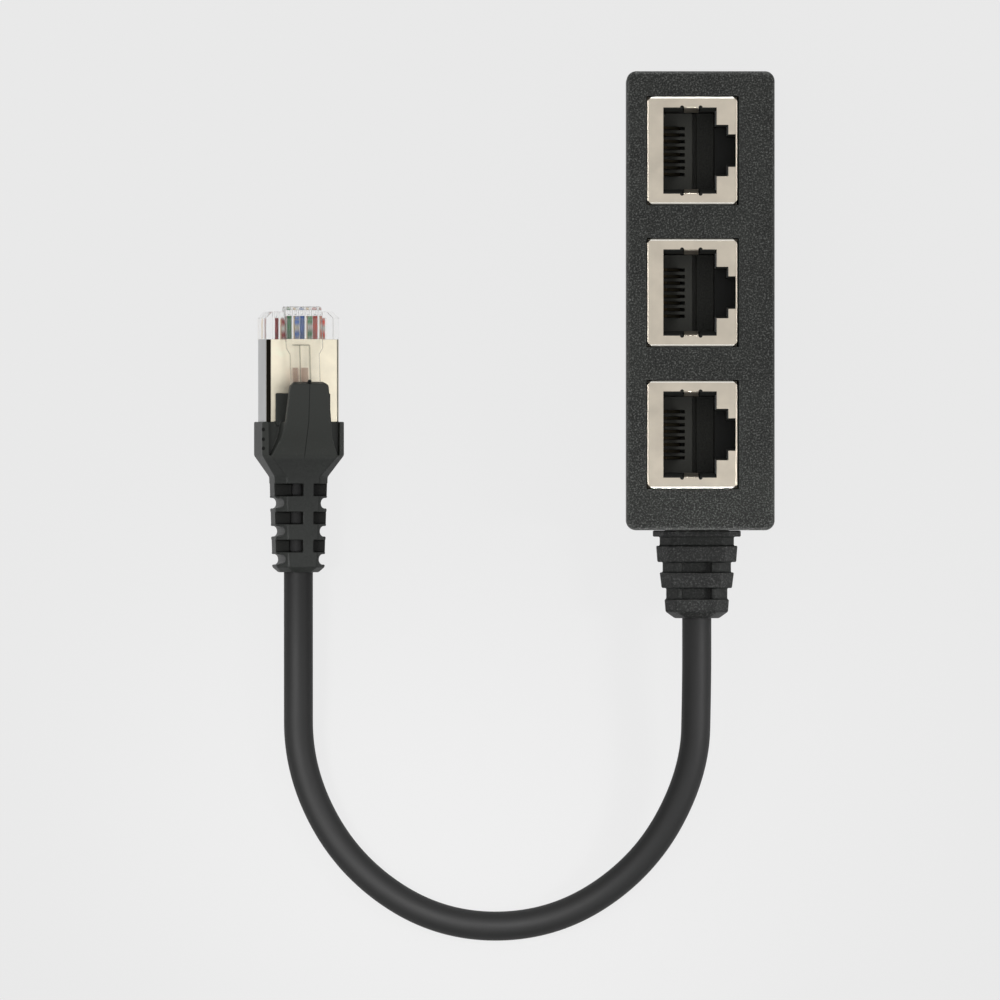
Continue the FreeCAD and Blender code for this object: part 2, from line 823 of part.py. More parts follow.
def plug_body():
    """Clear plug: chamfered nose, stepped-down tail under the shield, blade slots and wire pocket."""
    half = plug_width / 2
    nose = [
        vector(-half + nose_chamfer, 0, 0),
        vector(half - nose_chamfer, 0, 0),
        vector(half, -nose_chamfer, 0),
        vector(half, -plug_shield_start, 0),
        vector(-half, -plug_shield_start, 0),
        vector(-half, -nose_chamfer, 0),
    ]
    body = prism(nose, vector(0, 0, plug_height))
    body.translate(vector(0, 0, -plug_height / 2))
    step = plug_sheet + fit_gap
    tail = section(plug_width - 2 * step, plug_height - 2 * step, plug_shield_radius, -plug_shield_start)
    body = body.fuse([prism(tail, along_y(plug_shield_start - plug_length)), latch()])
    wire_half = (contact_count * contact_pitch) / 2
    cavity_x = half - step - rear_cavity_wall
    cuts = [
        block(
            (-wire_half, wire_half),
            (-fan_start, -wire_front + wire_pocket_play),
            (-pocket_half_height, pocket_half_height),
        ),
        block((-cavity_x, cavity_x), (-plug_length, -fan_start), (-bore_radius, bore_radius)),
    ]
    for number in range(contact_count):
        across = about(plug_contact_x(number), blade_slot_width)
        cuts.append(block(across, (-blade_slot_length, sheet), (-plug_height, -pocket_half_height)))
    return body.cut(cuts).removeSplitter()


def plug_contact_x(number):
    """Pin 1 is on the right when the latch is up and the nose points away."""
    return ((contact_count - 1) / 2 - number) * contact_pitch


def wire_z(number):
    """Wires lie in two staggered rows."""
    return wire_row_z if number % 2 == 0 else -wire_row_z


def plug_contact(number):
    """Gold-plated blade with two prongs that reach its wire."""
    bottom = -plug_height / 2 + blade_recess
    top = wire_z(number) - wire_diameter / 2
    back = -blade_front - blade_length
    middle = -blade_front - blade_length / 2
    profile = [
        (-blade_front - blade_corner, bottom),
        (-blade_front, bottom + blade_corner),
        (-blade_front, top - blade_notch),
        (-blade_front - blade_corner, top),
        (middle, top - blade_notch),
        (back + blade_corner, top),
        (back, top - blade_notch),
        (back, bottom),
    ]
    x = plug_contact_x(number) - blade_thickness / 2
    return prism([vector(x, y, z) for y, z in profile], vector(blade_thickness, 0, 0))


def plug_wire(number):
    """Insulated wire: straight under the nose, then drawn in to the cable's end."""
    z = wire_z(number)
    end_x = (contact_count / 4 - 0.5 - number // 2) * board_wire_pitch
    bend = vector(plug_contact_x(number), -fan_start, z)
    front = vector(plug_contact_x(number), -wire_front, z)
    overrun = vector(0, -wire_diameter / 4, 0)
    straight = wire_bar(front, bend + overrun, wire_diameter)
    end = vector(end_x, -cable_tip, z)
    drawn = wire_bar(bend, end + (end - bend).normalize() * wire_diameter, wire_diameter)
    past_tip = block((-plug_width, plug_width), (-plug_length, -cable_tip), (-plug_height, plug_height))
    drawn = drawn.cut(past_tip)
    return straight.fuse(drawn).removeSplitter()


def plug_shield():
    """Folded shell round the plug's tail, cut away over the blades."""
    front = -plug_shield_start
    length = plug_length - plug_shield_end_margin - plug_shield_start
    outer = rounded_section(plug_width, plug_height, plug_shield_radius, front)
    inside = 2 * plug_sheet
    inner_radius = plug_shield_radius - plug_sheet
    inner = rounded_section(plug_width - inside, plug_height - inside, inner_radius, front)
    back = along_y(-length)
    shield = Part.Face(outer).extrude(back).cut(Part.Face(inner).extrude(back))
    cut_x = (-blade_zone_half_width, blade_zone_half_width)
    return shield.cut(block(cut_x, (-blade_zone, front), (-plug_height, 0)))


def boot_hood():
    """Cover over the latch's end: a sloping tongue that flares out as it runs down into the shoulder."""
    front = collar_front - hood_reach
    floor = boot_top - recess_depth
    side = [
        vector(0, -front, hood_front_top - hood_thickness),
        vector(0, -front - hood_lip, hood_front_top),
        vector(0, -collar_front, hood_mid_top),
        vector(0, -collar_back, boot_top),
        vector(0, -collar_back, floor),
        vector(0, -collar_front, floor),
        vector(0, -collar_front, hood_mid_top - hood_thickness),
    ]
    flare_width = hood_mid_width + (hood_rear_width - hood_mid_width) * hood_flare_share
    stations = (
        (front, hood_front_width - 2 * hood_corner),
        (front + hood_corner, hood_front_width),
        (collar_front, hood_mid_width),
        ((collar_front + collar_back) / 2, flare_width),
        (collar_back, hood_rear_width),
    )
    left = [vector(-width / 2, -station, 0) for station, width in stations]
    plan = left + [vector(-point.x, point.y, 0) for point in left[::-1]]
    profile = prism(side, vector(boot_width, 0, 0))
    profile.translate(vector(-boot_width / 2, 0, 0))
    return profile.common(prism(plan, vector(0, 0, hood_front_top)))


def boot_ribs():
    """Cuts that make the tail of the boot bend: slots above and below, notches at the sides."""
    cuts = []
    span = slot_centres[0] - boot_length
    for centre in slot_centres:
        share = (slot_centres[0] - centre) / span
        width = neck_width + (neck_end_width - neck_width) * share
        height = neck_height + (neck_end_height - neck_height) * share
        y_span = about(-centre, slot_length)
        web = about(slot_web_offset, slot_web)
        for side in (1, -1):
            z_span = about(side * height / 2, 2 * slot_depth)
            cuts.append(block((web[1], width), y_span, z_span))
            cuts.append(block((-width, web[0]), y_span, z_span))
        groove = -centre - groove_after_slot
        for side in (1, -1):
            root = side * (width / 2 - groove_depth + groove_radius)
            tip = side * width
            cuts.append(Part.makeCylinder(groove_radius, boot_width, vector(root, groove, -boot_width / 2)))
            x_span = (min(root, tip), max(root, tip))
            cuts.append(block(x_span, about(groove, 2 * groove_radius), (-boot_width / 2, boot_width / 2)))
    return cuts


def plug_boot():
    """Soft boot: collar on the plug, hood over the latch, shoulder, and a slotted, ribbed tail."""
    height = boot_bottom + boot_top
    lift = (boot_top - boot_bottom) / 2
    tip_cut = 2 * ring_round
    collar_front_ring = section(boot_width, height, boot_bevel, -collar_front, 0, lift)
    collar_back_ring = section(boot_width, height, boot_bevel, -collar_back, 0, lift)
    neck_ring = section(neck_width, neck_height, neck_bevel, -neck_front)
    last_ring_start = section(neck_end_width, neck_end_height, neck_bevel, -boot_length + ring_round)
    tip_ring = section(neck_end_width - tip_cut, neck_end_height - tip_cut, neck_bevel, -boot_length)
    collar = prism(collar_front_ring, along_y(-collar_length))
    tail = tapered(collar_back_ring, neck_ring, last_ring_start, tip_ring)
    recess_x = boot_width / 2 - recess_wall
    recess_z = (boot_top - recess_depth, boot_top + recess_depth)
    collar = collar.cut(block((-recess_x, recess_x), (-collar_back, -collar_front), recess_z))
    pad_z = (plug_height / 2 + boot_gap, plug_height / 2 + boot_gap + pad_thickness)
    pad_y = (-collar_front - boot_wall, -collar_front + pad_reach)
    pad = block(about(0, pad_width), pad_y, pad_z)
    boot = collar.fuse([tail, boot_hood(), pad])
    fit = 2 * boot_gap
    socket = section(plug_width + fit, plug_height + fit, boot_gap, -collar_front + boot_gap)
    socket = prism(socket, along_y(-boot_overlap - fit))
    channel_z = (boot_top - recess_depth, hood_mid_top - hood_thickness - hood_step)
    channel_y = (-collar_front - hood_channel_length, -collar_front)
    channel = block(about(0, hood_channel_width), channel_y, channel_z)
    bore = rod(bore_radius, vector(0, -2 * boot_length, 0), vector(0, -collar_front, 0))
    return boot.cut([socket, channel, bore] + boot_ribs()).removeSplitter()


def laid(shape):
    """Moves a piece of the plug from its own frame to where it lies at the cable's end."""
    turned = FreeCAD.Rotation(vector(0, 1, 0), plug_roll)
    place = FreeCAD.Placement(vector(plug_x, boot_end_y + boot_length, plug_axis_z), turned)
    moved = shape.copy()
    moved.Placement = place.multiply(moved.Placement)
    return moved


def save(name, shape):
    shape.exportStep("parts/" + name + ".step")
    kinds = "valid" if shape.isValid() else "INVALID"
    print(name, kinds, len(shape.Solids), "solids", round(shape.Volume, 2), "mm3")


os.makedirs("parts", exist_ok=True)
save("housing_shell", housing_shell())
save("back_cover", back_cover())
save("circuit_board", circuit_board())
for index, port_y in enumerate(port_ys):
    jack = "jack_" + str(index + 1)
    save(jack + "_shield", jack_shield(port_y))
    save(jack + "_body", jack_body(port_y))
    save(jack + "_insert", jack_insert(port_y))
    for contact in range(contact_count):
        save(jack + "_contact_" + str(contact + 1), jack_contact(port_y, contact))
save("strain_relief", strain_relief())
save("cable", cable())
save("board_wires", board_wires())
save("plug_body", laid(plug_body()))
save("plug_shield", laid(plug_shield()))
save("plug_boot", laid(plug_boot()))
for contact in range(contact_count):
    save("plug_contact_" + str(contact + 1), laid(plug_contact(contact)))
    save("wire_" + WIRE_COLOURS[contact], laid(plug_wire(contact)))
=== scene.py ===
import bmesh
import bpy
import math
from mathutils import Matrix, Vector


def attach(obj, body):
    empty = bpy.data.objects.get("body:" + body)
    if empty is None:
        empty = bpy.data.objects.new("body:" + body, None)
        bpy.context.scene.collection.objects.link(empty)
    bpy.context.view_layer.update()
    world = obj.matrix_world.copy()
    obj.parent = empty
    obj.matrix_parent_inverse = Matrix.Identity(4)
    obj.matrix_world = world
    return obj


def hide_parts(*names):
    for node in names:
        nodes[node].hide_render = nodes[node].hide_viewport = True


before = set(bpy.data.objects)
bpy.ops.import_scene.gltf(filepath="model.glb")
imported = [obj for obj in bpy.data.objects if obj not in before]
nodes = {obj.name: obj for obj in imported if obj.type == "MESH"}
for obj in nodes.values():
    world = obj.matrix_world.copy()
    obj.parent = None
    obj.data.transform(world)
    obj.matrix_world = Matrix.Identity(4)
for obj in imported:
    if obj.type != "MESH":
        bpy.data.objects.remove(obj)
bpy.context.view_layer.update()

# The view. The part lies on a pale table and is looked at from straight above through a long lens,
# so that the sockets face the camera.
view_width = 0.15385
view_centre = Vector((-0.0308, -0.0306))
camera_height = 4.0
sharp_height = 0.016
sensor_width = 36.0
camera_data = bpy.data.cameras.new("camera")
camera_data.sensor_width = sensor_width
camera_data.lens = sensor_width * (camera_height - sharp_height) / view_width
camera = bpy.data.objects.new("camera", camera_data)
camera.location = (*view_centre, camera_height)
bpy.context.scene.collection.objects.link(camera)
bpy.context.scene.camera = camera
bpy.context.scene.view_settings.view_transform = "Standard"


# The cable. One round jacket of soft black PVC runs from inside the box to the crimp in the plug.
# It leaves the sleeve level with the middle of the box, sinks to the table, turns back in a wide
# loop and rises a little into the boot.
cable_diameter = 0.0045
cable_route = (
    (-0.0005, -0.0317, 0.012),
    (-0.0005, -0.0488, 0.012),
    (-0.0005, -0.0590, 0.012),
    (-0.0008, -0.07265, 0.0096),
    (-0.0086, -0.0871, 0.0056),
    (-0.0227, -0.0963, 0.0029),
    (-0.0398, -0.09645, 0.0023),
    (-0.0540, -0.0873, 0.0023),
    (-0.0619, -0.0727, 0.0032),
    (-0.0619, -0.0570, 0.00505),
    (-0.0619, -0.04175, 0.00505),
    (-0.0619, -0.01754, 0.00505),
)
# The stretch of jacket inside the boot, which gets painted shade.
boot_shade_across = (-0.0700, -0.0540)
boot_shade_along = (-0.0412, -0.0100)


def linear(*levels):
    """Colour from three display levels between 0 and 255."""
    values = [level / 255 for level in levels]
    values = [v / 12.92 if v <= 0.04045 else ((v + 0.055) / 1.055) ** 2.4 for v in values]
    return (*values, 1.0)


def add_node(tree, kind, **settings):
    """Shader node with its settings."""
    node = tree.nodes.new(kind)
    for name, value in settings.items():
        setattr(node, name, value)
    return node


def feed(tree, source, target):
    """Feeds an input from another node, or gives it a plain value."""
    if isinstance(source, bpy.types.NodeSocket):
        tree.links.new(source, target)
    else:
        target.default_value = source


def computed(tree, operation, *values):
    """Sum, product or the like of node outputs and plain values."""
    node = add_node(tree, "ShaderNodeMath", operation=operation)
    for value, target in zip(values, node.inputs):
        feed(tree, value, target)
    return node.outputs[0]


def mapped(tree, value, low, high, to_low=0.0, to_high=1.0):
    """Value moved from one range to another, and held at its ends."""
    ramp = add_node(tree, "ShaderNodeMapRange")
    feed(tree, value, ramp.inputs["Value"])
    ramp.inputs["From Min"].default_value = low
    ramp.inputs["From Max"].default_value = high
    ramp.inputs["To Min"].default_value = to_low
    ramp.inputs["To Max"].default_value = to_high
    return ramp.outputs["Result"]


def mixed(tree, share, first, second):
    """Second colour laid over the first by a share."""
    mix = add_node(tree, "ShaderNodeMix", data_type="RGBA")
    feed(tree, share, mix.inputs["Factor"])
    feed(tree, first, mix.inputs["A"])
    feed(tree, second, mix.inputs["B"])
    return mix.outputs["Result"]


def tinted(tree, colour, strength):
    """Colour made paler or darker."""
    scale = add_node(tree, "ShaderNodeVectorMath", operation="SCALE")
    feed(tree, colour, scale.inputs[0])
    feed(tree, strength, scale.inputs["Scale"])
    return scale.outputs[0]


def clouds(tree, coordinates, waves_per_metre, detail, roughness=0.5):
    """Soft random values about one half."""
    noise = add_node(tree, "ShaderNodeTexNoise")
    feed(tree, coordinates, noise.inputs["Vector"])
    feed(tree, waves_per_metre, noise.inputs["Scale"])
    noise.inputs["Detail"].default_value = detail
    noise.inputs["Roughness"].default_value = roughness
    return noise.outputs["Fac"]


def new_skin(name, inputs):
    """Shared surface with named inputs, and its two end nodes."""
    group = bpy.data.node_groups.new(name, "ShaderNodeTree")
    for label, kind, default in inputs:
        socket = group.interface.new_socket(label, in_out="INPUT", socket_type=kind)
        if default is not None:
            socket.default_value = default
    for label, kind in (("Colour", "Color"), ("Roughness", "Float"), ("Height", "Float")):
        group.interface.new_socket(label, in_out="OUTPUT", socket_type=f"NodeSocket{kind}")
    return group, group.nodes.new("NodeGroupInput").outputs, group.nodes.new("NodeGroupOutput").inputs


def moulded_surface():
    """Moulded skin: fine pits of one size, uneven gloss, a slow random drift of tone, and pale painted glints
    on the crests of the pits.
    """
    drift_waves = 160.0
    drift_share = 0.35
    middle = 0.675
    gloss_swing = 0.15
    glint_from = 0.51
    glint_full = 0.72
    painted_glint_colour = (0.55, 0.56, 0.54, 1.0)
    group, given, made = new_skin(
        "moulded_skin",
        (
            ("Coordinates", "NodeSocketVector", None),
            ("Colour", "NodeSocketColor", (0.02, 0.02, 0.02, 1.0)),
            ("Pits per Metre", "NodeSocketFloat", 4000.0),
            ("Mottle", "NodeSocketFloat", 0.3),
            ("Gloss", "NodeSocketFloat", 0.5),
            ("Painted Glints", "NodeSocketFloat", 0.0),
        ),
    )
    pits = clouds(group, given["Coordinates"], given["Pits per Metre"], detail=3.0, roughness=0.7)
    drift = clouds(group, given["Coordinates"], drift_waves, detail=3.0)
    both = computed(group, "MULTIPLY_ADD", drift, drift_share, pits)
    centred = computed(group, "SUBTRACT", both, middle)
    shaded = tinted(group, given["Colour"], computed(group, "MULTIPLY_ADD", centred, given["Mottle"], 1.0))
    # Painted glints: pale specks on the crests of the pits, standing in for light sparkling on the grain.
    painted_glint = computed(group, "MULTIPLY", mapped(group, pits, glint_from, glint_full), given["Painted Glints"])
    feed(group, mixed(group, painted_glint, shaded, painted_glint_colour), made["Colour"])
    feed(group, computed(group, "MULTIPLY_ADD", centred, gloss_swing, given["Gloss"]), made["Roughness"])
    feed(group, pits, made["Height"])
    return group


def bare_material(name):
    """Material with its shader and the piece's own coordinates."""
    material = bpy.data.materials.new(name)
    material.use_nodes = True
    tree = material.node_tree
    shader = tree.nodes["Principled BSDF"]
    coordinates = add_node(tree, "ShaderNodeTexCoord").outputs["Object"]
    return material, tree, shader, coordinates


def skinned(name, skin, depth, values):
    """Material whose colour, gloss and bumps come from a shared surface."""
    material, tree, shader, coordinates = bare_material(name)
    surface = add_node(tree, "ShaderNodeGroup", node_tree=skin)
    feed(tree, coordinates, surface.inputs["Coordinates"])
    for label, value in values.items():
        surface.inputs[label].default_value = value
    bump = add_node(tree, "ShaderNodeBump")
    bump.inputs["Distance"].default_value = depth
    feed(tree, surface.outputs["Height"], bump.inputs["Height"])
    feed(tree, surface.outputs["Colour"], shader.inputs["Base Color"])
    feed(tree, surface.outputs["Roughness"], shader.inputs["Roughness"])
    feed(tree, bump.outputs["Normal"], shader.inputs["Normal"])
    return material, shader


def moulded(name, colour, gloss, pit_size, pit_depth, mottle=0.3, painted_glints=0.0, shine=0.3):
    """Opaque moulded plastic or rubber with its own grain and painted glints; sizes in metres."""
    values = {"Colour": colour, "Gloss": gloss, "Mottle": mottle, "Painted Glints": painted_glints}
    values["Pits per Metre"] = 1 / pit_size
    material, shader = skinned(name, moulded_skin, pit_depth, values)
    shader.inputs["Specular IOR Level"].default_value = shine
    return material


def between(tree, value, span, blur):
    """One inside a span of a coordinate and zero outside, with soft ends."""
    low, high = span
    far = computed(tree, "ABSOLUTE", computed(tree, "SUBTRACT", value, (low + high) / 2))
    return mapped(tree, far, (high - low) / 2 + blur, (high - low) / 2 - blur)


def product(tree, first, second):
    """Share that holds where two shares hold."""
    return computed(tree, "MULTIPLY", first, second)


def painted(tree, shader, share, colour):
    """Lays a colour over the shader's own where a share is one."""
    base = shader.inputs["Base Color"]
    below = base.links[0].from_socket if base.links else base.default_value
    feed(tree, mixed(tree, share, below, colour), base)


def round_line(name, points, diameter):
    """Smooth curve with a round section through given control points."""
    line = bpy.data.curves.new(name, "CURVE")
    line.dimensions = "3D"
    spline = line.splines.new("NURBS")
    spline.points.add(len(points) - 1)
    for control, place in zip(spline.points, points):
        control.co = (*place, 1.0)
    spline.order_u = 3
    spline.use_endpoint_u = True
    line.resolution_u = 16
    line.bevel_depth = diameter / 2
    line.bevel_resolution = 8
    line.use_fill_caps = True
    piece = bpy.data.objects.new(name, line)
    bpy.context.scene.collection.objects.link(piece)
    return piece


def jacket_material():
    """Soft black PVC, with painted shade where it runs inside the boot and shows through its slots."""
    material = moulded(
        "cable_pvc", linear(23, 23, 23), gloss=0.6, pit_size=0.00035, pit_depth=0.000004, mottle=0.15
    )
    tree = material.node_tree
    place = add_node(tree, "ShaderNodeSeparateXYZ")
    feed(tree, add_node(tree, "ShaderNodeTexCoord").outputs["Object"], place.inputs[0])
    across = between(tree, place.outputs["X"], boot_shade_across, blur=0.0001)
    along = between(tree, place.outputs["Y"], boot_shade_along, blur=0.0001)
    # Painted shade: near-black colour on the jacket inside the boot.
    painted(tree, tree.nodes["Principled BSDF"], product(tree, across, along), linear(5, 5, 5))
    return material


moulded_skin = moulded_surface()
jacket = round_line("cable_jacket", cable_route, cable_diameter)
jacket.data.materials.append(jacket_material())
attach(jacket, "root")
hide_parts("cable")


# The box. A tray moulded in black ABS, with a fine spark-eroded grain on every outer face, holds the
# three sockets in its windows. A flat lid of the same plastic closes its back. The edges are slightly
# rounded.
port_numbers = (1, 2, 3)
shield_hairline = 0.00007
window_reach = 0.0002


def joined_copy(name, node, rework):
    """Copy of one of the part's solids, its triangles joined into whole faces, with finer detail."""
    same_place = 1e-6
    flat = math.radians(0.5)
    form = bmesh.new()
    form.from_mesh(nodes[node].data)
    bmesh.ops.remove_doubles(form, verts=form.verts, dist=same_place)
    bmesh.ops.dissolve_limit(form, angle_limit=flat, verts=form.verts, edges=form.edges)
    if rework:
        rework(form)
    for face in form.faces:
        face.smooth = True
    mesh = bpy.data.meshes.new(name)
    form.to_mesh(mesh)
    form.free()
    piece = bpy.data.objects.new(name, mesh)
    bpy.context.scene.collection.objects.link(piece)
    return piece


def edged(name, node, slot, materials, edge, segments=2, clamp=True, rework=None):
    """Copy of one of the part's solids with its sharp edges rounded, which stands for it."""
    sharp = math.radians(25)
    piece = joined_copy(name, node, rework)
    rounding = piece.modifiers.new("rounding", "BEVEL")
    rounding.width = edge
    rounding.segments = segments
    rounding.limit_method = "ANGLE"
    rounding.angle_limit = sharp
    rounding.use_clamp_overlap = clamp
    piece.modifiers.new("shading", "WEIGHTED_NORMAL")
    for material in materials:
        piece.data.materials.append(material)
    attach(piece, "root")
    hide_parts(node)
    return piece


def snug_windows(form):
    """Draws the edge of each window in to a hairline from the shield that stands in it."""
    sides = (0, 1)
    for number in port_numbers:
        shield = [vert.co for vert in nodes[f"jack_{number}_shield"].data.vertices]
        low = [min(place[axis] for place in shield) - shield_hairline for axis in sides]
        high = [max(place[axis] for place in shield) + shield_hairline for axis in sides]
        for vert in form.verts:
            if all(low[axis] - window_reach < vert.co[axis] < high[axis] + window_reach for axis in sides):
                for axis in sides:
                    vert.co[axis] = min(max(vert.co[axis], low[axis]), high[axis])


# The housing's grain carries the strongest painted glints of all the plastics.
housing_plastic = moulded(
    "housing_abs", linear(32, 34, 31), gloss=0.5, pit_size=0.00027, pit_depth=0.00009, mottle=4.0, painted_glints=0.22
)
edged("box_shell", "housing_shell", "housing", [housing_plastic], edge=0.00004, rework=snug_windows)
edged("box_lid", "back_cover", "cover", [housing_plastic], edge=0.00012)


# The circuit board. A sheet of glass fibre under green solder mask, sealed in the box behind the
# sockets. The tails of their springs stand in its holes.
def carried(node, material):
    """Solid that is shown as it is."""
    nodes[node].data.materials.clear()
    nodes[node].data.materials.append(material)


solder_mask = moulded("solder_mask", linear(18, 58, 34), gloss=0.35, pit_size=0.0004, pit_depth=0.000005)
carried("circuit_board", solder_mask)


# The sockets' shields. Each is one sheet of tin-plated brass, cut and folded: a face with a stepped
# opening, four sides, and a spring tongue turned in at each end of the opening.
def plated_surface():
    """Plated sheet: fine rolling lines one way, and dull patches."""
    line_waves = (9000.0, 500.0, 500.0)
    patch_waves = 260.0
    patch_low = 0.3
    patch_high = 0.7
    dull_shade = 0.86
    bright_shade = 1.06
    gloss_swing = 0.2
    group, given, made = new_skin(
        "plated_sheet",
        (
            ("Coordinates", "NodeSocketVector", None),
            ("Colour", "NodeSocketColor", (0.6, 0.6, 0.6, 1.0)),
            ("Gloss", "NodeSocketFloat", 0.3),
        ),
    )
    stretch = add_node(group, "ShaderNodeVectorMath", operation="MULTIPLY")
    feed(group, given["Coordinates"], stretch.inputs[0])
    feed(group, line_waves, stretch.inputs[1])
    lines = clouds(group, stretch.outputs[0], waves_per_metre=1.0, detail=2.0)
    patches = clouds(group, given["Coordinates"], patch_waves, detail=4.0)
    shade = mapped(group, patches, patch_low, patch_high, dull_shade, bright_shade)
    feed(group, tinted(group, given["Colour"], shade), made["Colour"])
    feed(group, computed(group, "MULTIPLY_ADD", patches, gloss_swing, given["Gloss"]), made["Roughness"])
    feed(group, lines, made["Height"])
    return group


def plated(name, colour, gloss):
    """Tin or gold plate on thin sheet."""
    line_depth = 0.000004
    material, shader = skinned(name, plated_sheet, line_depth, {"Colour": colour, "Gloss": gloss})
    shader.inputs["Metallic"].default_value = 1.0
    return material


def mark_fold_highlights(form):
    """Notes the faces of three of the folds, where a highlight is painted."""
    fold_width = 0.0005
    most_upright = 0.15
    most_level = 0.98
    fold_highlight = form.loops.layers.float_color.new("fold_highlight")
    right = max(vert.co.x for vert in form.verts)
    along = [vert.co.y for vert in form.verts]
    near, far = min(along), max(along)
    for face in form.faces:
        x, y, _ = face.calc_center_median()
        rim = min(right - x, y - near, far - y)
        folded = rim < fold_width and most_upright < abs(face.normal.z) < most_level
        share = 1.0 if folded else 0.0
        for loop in face.loops:
            loop[fold_highlight] = (share, share, share, 1.0)


def paint_fold_highlights(material):
    """Painted highlight: near-white metal on the marked folds."""
    tree = material.node_tree
    mark = add_node(tree, "ShaderNodeAttribute", attribute_name="fold_highlight")
    painted(tree, tree.nodes["Principled BSDF"], mark.outputs["Fac"], linear(250, 247, 238))


plated_sheet = plated_surface()
socket_tin = plated("socket_tin", linear(202, 193, 178), gloss=0.36)
# The folds of each shield get a painted highlight.
paint_fold_highlights(socket_tin)
for number in port_numbers:
    names = (f"socket_{number}_shield", f"jack_{number}_shield")
    edged(*names, "jack_tin", [socket_tin], edge=0.00006, rework=mark_fold_highlights)


# The sockets' plastic. Each has a body with the plug's cavity and the stepped channel for its latch,
# and behind it a comb of eight slots that keeps the springs apart.
mouth_half_width = 0.006
mouth_chamfer = 0.0005
facing_up = 0.9
comb_right_edge = -0.0004


def chamfered_mouth(form):
    """Lead-in round the plug's cavity, cut off the inner edges of the front face."""
    same_height = 1e-6
    outer_border = 1e-4
    front = max(vert.co.z for vert in form.verts)
    across = [vert.co.x for vert in form.verts]
    along = [vert.co.y for vert in form.verts]
    left, right = min(across), max(across)
    middle = (min(along) + max(along)) / 2
    rim = []
    for edge in form.edges:
        centre = (edge.verts[0].co + edge.verts[1].co) / 2
        at_front = all(abs(vert.co.z - front) < same_height for vert in edge.verts)
        inside = min(centre.x - left, right - centre.x) > outer_border
        if at_front and inside and abs(centre.y - middle) < mouth_half_width:
            rim.append(edge)
    bmesh.ops.bevel(
        form, geom=rim, offset=mouth_chamfer, segments=1, profile=0.5, affect="EDGES", material=-1
    )


def paint_wall_shade(form):
    """Second material, a darker copy of the comb's plastic, as painted shade on the wall behind the cavity
    beside the comb.
    """
    for face in form.faces:
        if face.normal.z > facing_up and face.calc_center_median().x > comb_right_edge:
            face.material_index = 1


socket_plastic = moulded(
    "socket_pbt", linear(27, 28, 26), gloss=0.45, pit_size=0.0003, pit_depth=0.00001, mottle=0.5, shine=0.2
)
comb_plastic = moulded("comb_pbt", linear(80, 81, 75), gloss=0.45, pit_size=0.0003, pit_depth=0.00001)
# The comb's plastic made darker, as painted shade on the wall beside the comb.
shaded_wall_plastic = moulded(
    "wall_pbt_painted_shade", linear(50, 51, 47), gloss=0.5, pit_size=0.0003, pit_depth=0.00003, mottle=1.5, shine=0.2
)
spring_gold = plated("spring_gold", linear(112, 102, 80), gloss=0.35)
for number in port_numbers:
    names = (f"socket_{number}_body", f"jack_{number}_body")
    edged(*names, "jack_plastic", [socket_plastic], edge=0.00005, rework=chamfered_mouth)
    names = (f"socket_{number}_comb", f"jack_{number}_insert")
    edged(*names, "insert_plastic", [comb_plastic, shaded_wall_plastic], edge=0.00006, rework=paint_wall_shade)
    for contact in range(1, 9):
        carried(f"jack_{number}_contact_{contact}", spring_gold)


# The sleeve where the cable leaves the box. It is moulded on the cable in black rubber, and its rings
# and slots let it bend evenly.
sleeve_grooves = ((-0.03767, -0.03623), (-0.04177, -0.04013), (-0.04592, -0.04413))


def darken(form, spans):
    """Second material on the faces that lie wholly between two stations along the piece."""
    for face in form.faces:
        stations = [vert.co.y for vert in face.verts]
        for low, high in spans:
            if min(stations) > low and max(stations) < high:
                face.material_index = 1


def sleeve_detail(form):
    """Duller rubber in the grooves."""
    darken(form, sleeve_grooves)


sleeve_rubber = moulded(
    "sleeve_rubber", linear(18, 19, 18), gloss=0.5, pit_size=0.0003, pit_depth=0.00007, mottle=2.8, painted_glints=0.1
)
groove_rubber = moulded(
    "groove_rubber",
    linear(18, 20, 18),
    gloss=0.6,
    pit_size=0.0003,
    pit_depth=0.00006,
    mottle=2.8,
    painted_glints=0.05,
)
sleeve = edged(
    "cable_sleeve",
    "strain_relief",
    "sleeve",
    [sleeve_rubber, groove_rubber],
    edge=0.0002,
    segments=3,
    clamp=False,
    rework=sleeve_detail,
)


# The wires inside the box. Eight thin wires in polyethylene jackets run from the cable's end to
# the board, which joins them to all three sockets.
wire_plastic = moulded(
    "wire_pe", linear(200, 150, 110), gloss=0.4, pit_size=0.0005, pit_depth=0.000003, mottle=0.4
)
carried("board_wires", wire_plastic)


# The plug. Its body and springy latch are one clear polycarbonate moulding, and a folded tin-plated
# shell is pressed on behind the row of blades. In its own frame its nose is at the origin, its tail
# towards -Y and its latch up. It lies rolled on one long edge.
plug_nose = (-0.0619, -0.00154, 0.005054)
plug_roll = math.radians(12)
plug_place = Matrix.Translation(plug_nose) @ Matrix.Rotation(plug_roll, 4, "Y")
latch_face_height = 0.0046
channel_half_width = 0.00073
channel_end = -0.0052
channel_depth = 0.0003


